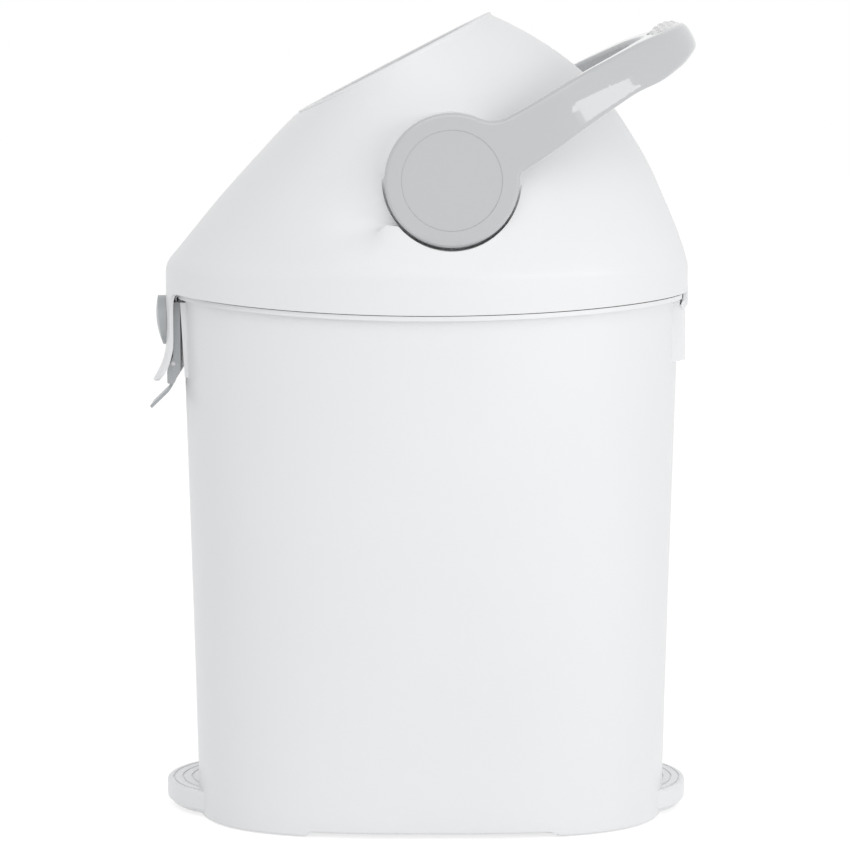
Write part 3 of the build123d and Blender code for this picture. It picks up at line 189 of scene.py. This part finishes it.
# ---- bucket: its foot is squarer in plan than an ellipse and runs down to the floor --------------
FOOT_HALF_W, FOOT_HALF_D, FOOT_Z = 0.112, 0.173, 0.007        # the node's outline at its foot
RIM_HALF_W, RIM_HALF_D, RIM_Z = 0.130, 0.1845, 0.398          # and at its rim
FOOT_WIDER, SQUARENESS = 0.018, 3.0
WALL_DEEPER, WALL_SHIFT = 0.0023, -0.0011
INSIDE_REACH, OUTSIDE_REACH = 0.62, 0.86                      # the wall moves, the floor's middle stays
AXIS_REACH = 1e-6
HEM_Z, HEM_REACH, HEM_DROP = 0.0095, 0.9, 0.0065
ARCH_HALF_LEN, ARCH_RAMP, ARCH_RISE = 0.090, 0.0025, 0.003
BOSS_LOW_Z, BOSS_FLAT_Y, BOSS_KEEP = 0.32, 0.1850, 0.45
BOSS_FOOT_Z, BOSS_FOOT_TOP_Z, BOSS_RAISE = 0.341, 0.350, 0.002
SEAT_FACE_Y, SEAT_FOOT_Y = -0.1878, -0.1846                   # the latch seat runs out into the wall
SEAT_HALF_W, SEAT_LOW_Z, SEAT_TOP_Z, SEAT_MARGIN = 0.028, 0.328, 0.384, 0.001


def reshape_bucket(co):
    share = (co.z - FOOT_Z) / (RIM_Z - FOOT_Z)
    half_w = FOOT_HALF_W + (RIM_HALF_W - FOOT_HALF_W) * share
    half_d = FOOT_HALF_D + (RIM_HALF_D - FOOT_HALF_D) * share
    reach = math.hypot(co.x / half_w, co.y / half_d)
    if reach < AXIS_REACH:
        return co
    across, along = co.x / half_w / reach, co.y / half_d / reach
    low = 1.0 - clamp(share)
    fuller = (abs(across) ** SQUARENESS + abs(along) ** SQUARENESS) ** (-1.0 / SQUARENESS) - 1.0
    grow = 1.0 + fuller * low
    new_x = (half_w + FOOT_WIDER * low) * across * reach * grow
    new_y = (half_d + WALL_DEEPER) * along * reach * grow + WALL_SHIFT
    outer = rise(INSIDE_REACH, OUTSIDE_REACH, reach)
    x = co.x + (new_x - co.x) * outer
    y = co.y + (new_y - co.y) * outer
    z = co.z
    if z < HEM_Z and reach > HEM_REACH:
        z += ARCH_RISE * rise(ARCH_HALF_LEN + ARCH_RAMP, ARCH_HALF_LEN, abs(y)) - HEM_DROP
    if y > BOSS_FLAT_Y and z > BOSS_LOW_Z:
        y = BOSS_FLAT_Y + (y - BOSS_FLAT_Y) * BOSS_KEEP
        z += BOSS_RAISE * (1.0 - rise(BOSS_FOOT_Z, BOSS_FOOT_TOP_Z, z))
    if z > SEAT_LOW_Z - SEAT_MARGIN and abs(x) < SEAT_HALF_W:
        up_seat = clamp((z - SEAT_LOW_Z) / (SEAT_TOP_Z - SEAT_LOW_Z))
        y = max(y, SEAT_FOOT_Y + (SEAT_FACE_Y - SEAT_FOOT_Y) * up_seat)
    return Vector((x, y, z))


reshaped("bucket", "bucket_form", reshape_bucket)


# ---- hinge: the pin lies flush in the boss, in the body's white, and a web closes the slit --------
WEB_LOW, WEB_HIGH = (-0.0340, 0.1770, 0.3790), (0.0340, 0.1843, 0.3866)
WEB_EDGE, WEB_EDGE_STEPS = 0.0008, 3


def flatten_pin(co):
    flat = BOSS_FLAT_Y + max(0.0, co.y - BOSS_FLAT_Y) * BOSS_KEEP
    return Vector((co.x, min(co.y, flat), co.z))


def hinge_web():
    """The web under the hinge's knuckles, with rounded edges, between the wall and the pin."""
    form = bmesh.new()
    bmesh.ops.create_cube(form, size=1.0)
    for vert in form.verts:
        vert.co = Vector(low + (high - low) * (c + 0.5) for low, high, c in zip(WEB_LOW, WEB_HIGH, vert.co))
    bmesh.ops.bevel(
        form, geom=form.edges[:], offset=WEB_EDGE, segments=WEB_EDGE_STEPS, profile=0.5, affect="EDGES"
    )
    mesh = bpy.data.meshes.new("hinge_web")
    form.to_mesh(mesh)
    form.free()
    mesh.materials.append(looks["body_white"])
    for face in mesh.polygons:
        face.use_smooth = True
    piece = bpy.data.objects.new("hinge_web", mesh)
    bpy.context.scene.collection.objects.link(piece)
    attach(piece, "base")


reshaped("hinge_pin", "hinge_pin_form", flatten_pin, look="body_white")
hinge_web()


# ---- bag ring: the band that shows under the head is a rounded bead ------------------------------
RING_LOW_Z, BEAD_TOP_Z, BEAD_PROUD = 0.384, 0.3925, 0.0016
RING_OUTER_REACH = 0.99
BEAD_STEP, BEAD_STEPS = 0.0011, 7


def reshape_ring(co):
    reach = math.hypot(co.x / RIM_HALF_W, co.y / RIM_HALF_D)
    if reach < RING_OUTER_REACH or co.z > BEAD_TOP_Z:
        return co
    share = (co.z - RING_LOW_Z) / (BEAD_TOP_Z - RING_LOW_Z)
    out = BEAD_PROUD * math.sqrt(max(0.0, 1.0 - (2.0 * share - 1.0) ** 2))
    return Vector((co.x * (1.0 + out / RIM_HALF_W), co.y * (1.0 + out / RIM_HALF_D), co.z))


bead_cuts = []
for step in range(1, BEAD_STEPS + 1):
    bead_cuts.append(((0.0, 0.0, RING_LOW_Z + BEAD_STEP * step), (0.0, 0.0, 1.0)))
reshaped("bag_ring", "bag_ring_form", reshape_ring, cuts=bead_cuts)


# ---- base plate: the treads are wider and lie lower than the node's, and the rear one is shorter --
TREAD_R, TREAD_MARGIN, TREAD_Y, TREAD_LOW_Z = 0.0645, 0.0005, 0.1376, 0.0038
TREAD_DROP, TREAD_WIDER = 0.0012, 1.12
REAR_FROM_Y, REAR_TO_Y, REAR_NODE_Y = 0.130, 0.1925, 0.2016


def reshape_plate(co):
    x, y, z = co
    if math.hypot(x, abs(y) - TREAD_Y) < TREAD_R + TREAD_MARGIN and z > TREAD_LOW_Z:
        z -= TREAD_DROP
        x *= TREAD_WIDER
    if y > REAR_FROM_Y:
        y = REAR_FROM_Y + (y - REAR_FROM_Y) * (REAR_TO_Y - REAR_FROM_Y) / (REAR_NODE_Y - REAR_FROM_Y)
    return Vector((x, y, z))


reshaped("base_plate", "base_plate_form", reshape_plate)


# ---- head: the dome stands a little further forward, between the skirt and the mouth -------------
HUB_Y, HUB_Z = 0.014, 0.480
DOME_FORWARD, DOME_SPAN = 0.0047, (0.405, 0.472, 0.505, 0.560)
PLINTH_X, PLINTH_R, PLINTH_OUT_R = 0.06, 0.056, 0.085         # the hub's plinth stays where it is
RELIEF_X, RELIEF_FRONT_Y, RELIEF_LOW_Z, RELIEF_TOP_Z = 0.088, -0.005, 0.430, 0.500
RELIEF_SPAN = (0.0590, 0.0630, 0.110, 0.130)


def from_hub(co):
    return math.hypot(co.y - HUB_Y, co.z - HUB_Z)


def reshape_head(co):
    free = rise(PLINTH_R, PLINTH_OUT_R, from_hub(co)) if abs(co.x) > PLINTH_X else 1.0
    return Vector((co.x, co.y - DOME_FORWARD * window(*DOME_SPAN, co.z) * free, co.z))


def relax_head(co):
    """How far a point may smooth out: the rim of the arm's relief, in front of and below the hub."""
    if abs(co.x) < RELIEF_X or co.y > RELIEF_FRONT_Y or not RELIEF_LOW_Z < co.z < RELIEF_TOP_Z:
        return 0.0
    return window(*RELIEF_SPAN, from_hub(co))


reshaped("head_shell", "head_form", reshape_head, sharp_degrees=24.0, relax=relax_head)


# ---- handle: bowed arms with a crease along their outer face, and a rounder nose -----------------
REST = math.radians(30.0)
ARM_ALONG = Vector((0.0, math.cos(REST), math.sin(REST)))
ARM_UP = Vector((0.0, -math.sin(REST), math.cos(REST)))
PIVOT = Vector((0.0, HUB_Y, HUB_Z))
ARM_HALF_H_AT_HUB, ARM_HALF_H_AT_TIP, GRIP_OUTER = 0.022, 0.0115, 0.207
HUB_OUTER_X = 0.126
BEND_CENTRE = GRIP_OUTER - HUB_OUTER_X
HUB_END = 0.05                                                # nearer the axis, nothing changes
ARM_INNER_REACH, ARM_OUTER_REACH = 0.1185, 0.1248
CREASE_PROUD, CREASE_SPAN = 0.0015, (0.070, 0.100, 0.160, 0.190)
NOSE_ROUND, NOSE_FROM, NOSE_TO = 0.0030, 0.150, 0.195
BOW_TOP, BOW_TOP_SPAN = 0.0036, (0.060, 0.130, 0.160, 0.205)
BOW_LOW, BOW_LOW_SPAN = 0.0020, (0.060, 0.120, 0.140, 0.165)
BELLY, BELLY_SPAN = 0.0020, (0.150, 0.175, 0.188, 0.207)
LEVEL_CUTS, LEVEL_TAPER = (-0.8, -0.6, -0.4, -0.2, 0.2, 0.4, 0.6, 0.8), 0.05
ALONG_CUT_FROM, ALONG_CUT_STEP, ALONG_CUTS = 0.058, 0.003, 48


def arm_half_height(along):
    return ARM_HALF_H_AT_HUB - (ARM_HALF_H_AT_HUB - ARM_HALF_H_AT_TIP) * along / GRIP_OUTER


def reshape_handle(co):
    off = co - PIVOT
    along, up = off.dot(ARM_ALONG), off.dot(ARM_UP)
    if along < HUB_END:
        return co
    if along < BEND_CENTRE:
        reach = abs(co.x)
        out_dir = Vector((math.copysign(1.0, co.x), 0.0, 0.0))
    else:
        reach = math.hypot(co.x, along - BEND_CENTRE)
        out_dir = Vector((co.x / reach, 0.0, 0.0)) + ARM_ALONG * ((along - BEND_CENTRE) / reach)
    height = up / arm_half_height(along)
    level, high = min(1.0, abs(height)), clamp(0.5 + 0.5 * height)
    out = CREASE_PROUD * window(*CREASE_SPAN, along) * (1.0 - level)
    out -= NOSE_ROUND * rise(NOSE_FROM, NOSE_TO, along) * level ** 3
    top = BOW_TOP * window(*BOW_TOP_SPAN, along)
    low = BOW_LOW * window(*BOW_LOW_SPAN, along) - BELLY * window(*BELLY_SPAN, along)
    outer = rise(ARM_INNER_REACH, ARM_OUTER_REACH, reach)
    return co + out_dir * (out * outer) + ARM_UP * (top * high + low * (1.0 - high))


arm_cuts = [(PIVOT, ARM_UP)]
for level in LEVEL_CUTS:
    slope = ARM_UP + ARM_ALONG * (LEVEL_TAPER * level)
    arm_cuts.append((PIVOT + ARM_UP * (ARM_HALF_H_AT_HUB * level), slope))
for step in range(ALONG_CUTS):
    arm_cuts.append((PIVOT + ARM_ALONG * (ALONG_CUT_FROM + ALONG_CUT_STEP * step), ARM_ALONG))
reshaped("handle", "handle_form", reshape_handle, cuts=arm_cuts, sharp_degrees=40.0)


# ---- pad on the grip: crowned, with rows of small round studs ------------------------------------
PAD_HALF_L, PAD_HALF_W, PAD_ALONG = 0.042, 0.0125, 0.190
PAD_CROWN, PAD_CROWN_POWER, PAD_SINK = 0.0048, 2.4, 0.0012
STUD_PITCH, STUD_H, STUD_R, STUD_FLAT = 0.0052, 0.0006, 0.0017, 0.45
STUD_ROW = STUD_PITCH * 0.86                                  # the rows lie closer than the studs in one
PLAIN_EDGE = 0.86                                             # the pad's edge has no studs
PAD_RINGS, PAD_SEGMENTS = 34, 128


def pad_point(ring_share, turn):
    x = PAD_HALF_L * ring_share * math.cos(turn)
    along = PAD_ALONG + PAD_HALF_W * ring_share * math.sin(turn)
    up = arm_half_height(along) + PAD_CROWN * (1.0 - ring_share ** PAD_CROWN_POWER)
    if ring_share < PLAIN_EDGE:
        row = round((along - PAD_ALONG) / STUD_ROW)
        stagger = 0.5 * (row % 2)
        stud_x = STUD_PITCH * (round(x / STUD_PITCH - stagger) + stagger)
        near = math.hypot(x - stud_x, along - PAD_ALONG - row * STUD_ROW) / STUD_R
        up += STUD_H * (1.0 - rise(STUD_FLAT, 1.0, near))
    return PIVOT + Vector((x, 0.0, 0.0)) + ARM_ALONG * along + ARM_UP * up


def grip_pad():
    form = bmesh.new()
    middle = form.verts.new(pad_point(0.0, 0.0))
    turns = [2.0 * math.pi * k / PAD_SEGMENTS for k in range(PAD_SEGMENTS)]
    rings = []
    for ring in range(1, PAD_RINGS + 1):
        rings.append([form.verts.new(pad_point(ring / PAD_RINGS, turn)) for turn in turns])
    base_up = arm_half_height(PAD_ALONG) - PAD_SINK
    rings.append([form.verts.new(v.co - ARM_UP * ((v.co - PIVOT).dot(ARM_UP) - base_up)) for v in rings[-1]])
    for k in range(PAD_SEGMENTS):
        after = (k + 1) % PAD_SEGMENTS
        form.faces.new((middle, rings[0][k], rings[0][after]))
        for inner, outer in zip(rings, rings[1:]):
            form.faces.new((inner[k], outer[k], outer[after], inner[after]))
    form.faces.new(list(reversed(rings[-1])))
    bmesh.ops.recalc_face_normals(form, faces=form.faces[:])
    mesh = bpy.data.meshes.new("grip_pad_form")
    form.to_mesh(mesh)
    form.free()
    finish_piece(bpy.data.objects.new("grip_pad_form", mesh), "grip_pad", sharp_degrees=50.0)


grip_pad()


# ---- push button: a small moulded edge -----------------------------------------------------------
BUTTON_WELD, BUTTON_EDGE, BUTTON_EDGE_STEPS, BUTTON_EDGE_DEGREES = 0.00002, 0.0009, 3, 35.0

weld = nodes["latch_button"].modifiers.new("weld", "WELD")
weld.merge_threshold = BUTTON_WELD
edge = nodes["latch_button"].modifiers.new("edge", "BEVEL")
edge.width = BUTTON_EDGE
edge.segments = BUTTON_EDGE_STEPS
edge.limit_method = "ANGLE"
edge.angle_limit = math.radians(BUTTON_EDGE_DEGREES)


# ---- stage: pale floor, soft light, camera at the photograph's angle ------------------------------
FLOOR_REACH, FLOOR_Z = 9.0, -0.0002
FLOOR_GREY, SHADOW_GREY, FLOOR_GLOW = 0.97, 0.42, 0.74
SKY_TINT, SKY_STRENGTH = (0.985, 0.99, 1.0), 0.72
CAMERA_AT, CAMERA_TO, CAMERA_DEGREES, CAMERA_CLIP = (2.74, -0.0053, 0.62), (0.0, -0.0053, 0.289), 13.27, 0.05


def light_path_share(tree):
    """1 for rays from the camera and in reflections and clear pieces, 0 for the light itself."""
    rays = tree.nodes.new("ShaderNodeLightPath")
    share = rays.outputs["Is Camera Ray"]
    for kind in ("Is Glossy Ray", "Is Transmission Ray"):
        larger = tree.nodes.new("ShaderNodeMath")
        larger.operation = "MAXIMUM"
        tree.links.new(share, larger.inputs[0])
        tree.links.new(rays.outputs[kind], larger.inputs[1])
        share = larger.outputs[0]
    return share


def mixed(tree, lighting, seen, out):
    """Give light one shader and the camera and reflections the other."""
    mix = tree.nodes.new("ShaderNodeMixShader")
    tree.links.new(light_path_share(tree), mix.inputs["Fac"])
    tree.links.new(lighting, mix.inputs[1])
    tree.links.new(seen, mix.inputs[2])
    tree.links.new(mix.outputs["Shader"], out.inputs["Surface"])


def shader(tree, kind, color, strength=None):
    node = tree.nodes.new(kind)
    node.inputs["Color"].default_value = (*color, 1.0)
    if strength is not None:
        node.inputs["Strength"].default_value = strength
    return node.outputs[0]


def pale_floor():
    """A pale floor which the camera sees as white, with the object's shadow kept faintly."""
    mat = bpy.data.materials.new("floor_white")
    mat.use_nodes = True
    tree = mat.node_tree
    tree.nodes.clear()
    out = tree.nodes.new("ShaderNodeOutputMaterial")
    plain = shader(tree, "ShaderNodeBsdfDiffuse", (FLOOR_GREY,) * 3)
    both = tree.nodes.new("ShaderNodeAddShader")
    tree.links.new(shader(tree, "ShaderNodeBsdfDiffuse", (SHADOW_GREY,) * 3), both.inputs[0])
    tree.links.new(shader(tree, "ShaderNodeEmission", (1.0, 1.0, 1.0), FLOOR_GLOW), both.inputs[1])
    mixed(tree, plain, both.outputs["Shader"], out)
    return mat


def soft_box(name, place, target, size, power):
    lamp = bpy.data.lights.new(name, "AREA")
    lamp.shape = "RECTANGLE"
    lamp.size, lamp.size_y = size
    lamp.energy = power
    stand = bpy.data.objects.new(name, lamp)
    bpy.context.scene.collection.objects.link(stand)
    stand.location = place
    stand.rotation_euler = (Vector(target) - Vector(place)).to_track_quat("-Z", "Y").to_euler()


floor_mesh = bpy.data.meshes.new("floor")
corners = [(-1.0, -1.0), (1.0, -1.0), (1.0, 1.0), (-1.0, 1.0)]
floor_mesh.from_pydata([(x * FLOOR_REACH, y * FLOOR_REACH, 0.0) for x, y in corners], [], [(0, 1, 2, 3)])
floor = bpy.data.objects.new("floor", floor_mesh)
bpy.context.scene.collection.objects.link(floor)
floor.location.z = FLOOR_Z
floor.data.materials.append(pale_floor())

world = bpy.data.worlds.new("studio")
bpy.context.scene.world = world
world.use_nodes = True
world.node_tree.nodes.clear()
sky = shader(world.node_tree, "ShaderNodeBackground", SKY_TINT, SKY_STRENGTH)
white = shader(world.node_tree, "ShaderNodeBackground", (1.0, 1.0, 1.0), 1.0)
mixed(world.node_tree, sky, white, world.node_tree.nodes.new("ShaderNodeOutputWorld"))

soft_box("key_top", place=(1.9, -0.15, 1.9), target=(0.0, 0.0, 0.35), size=(1.8, 1.6), power=7.5)
soft_box("glint_right", place=(1.8, 1.75, 0.85), target=(0.0, 0.0, 0.45), size=(2.4, 0.7), power=12.5)

camera_data = bpy.data.cameras.new("camera")
camera_data.sensor_fit = "HORIZONTAL"
camera_data.angle = math.radians(CAMERA_DEGREES)
camera_data.clip_start = CAMERA_CLIP
camera = bpy.data.objects.new("camera", camera_data)
bpy.context.scene.collection.objects.link(camera)
camera.location = CAMERA_AT
camera.rotation_euler = (Vector(CAMERA_TO) - camera.location).to_track_quat("-Z", "Y").to_euler()
bpy.context.scene.camera = camera
bpy.context.scene.view_settings.view_transform = "Standard"
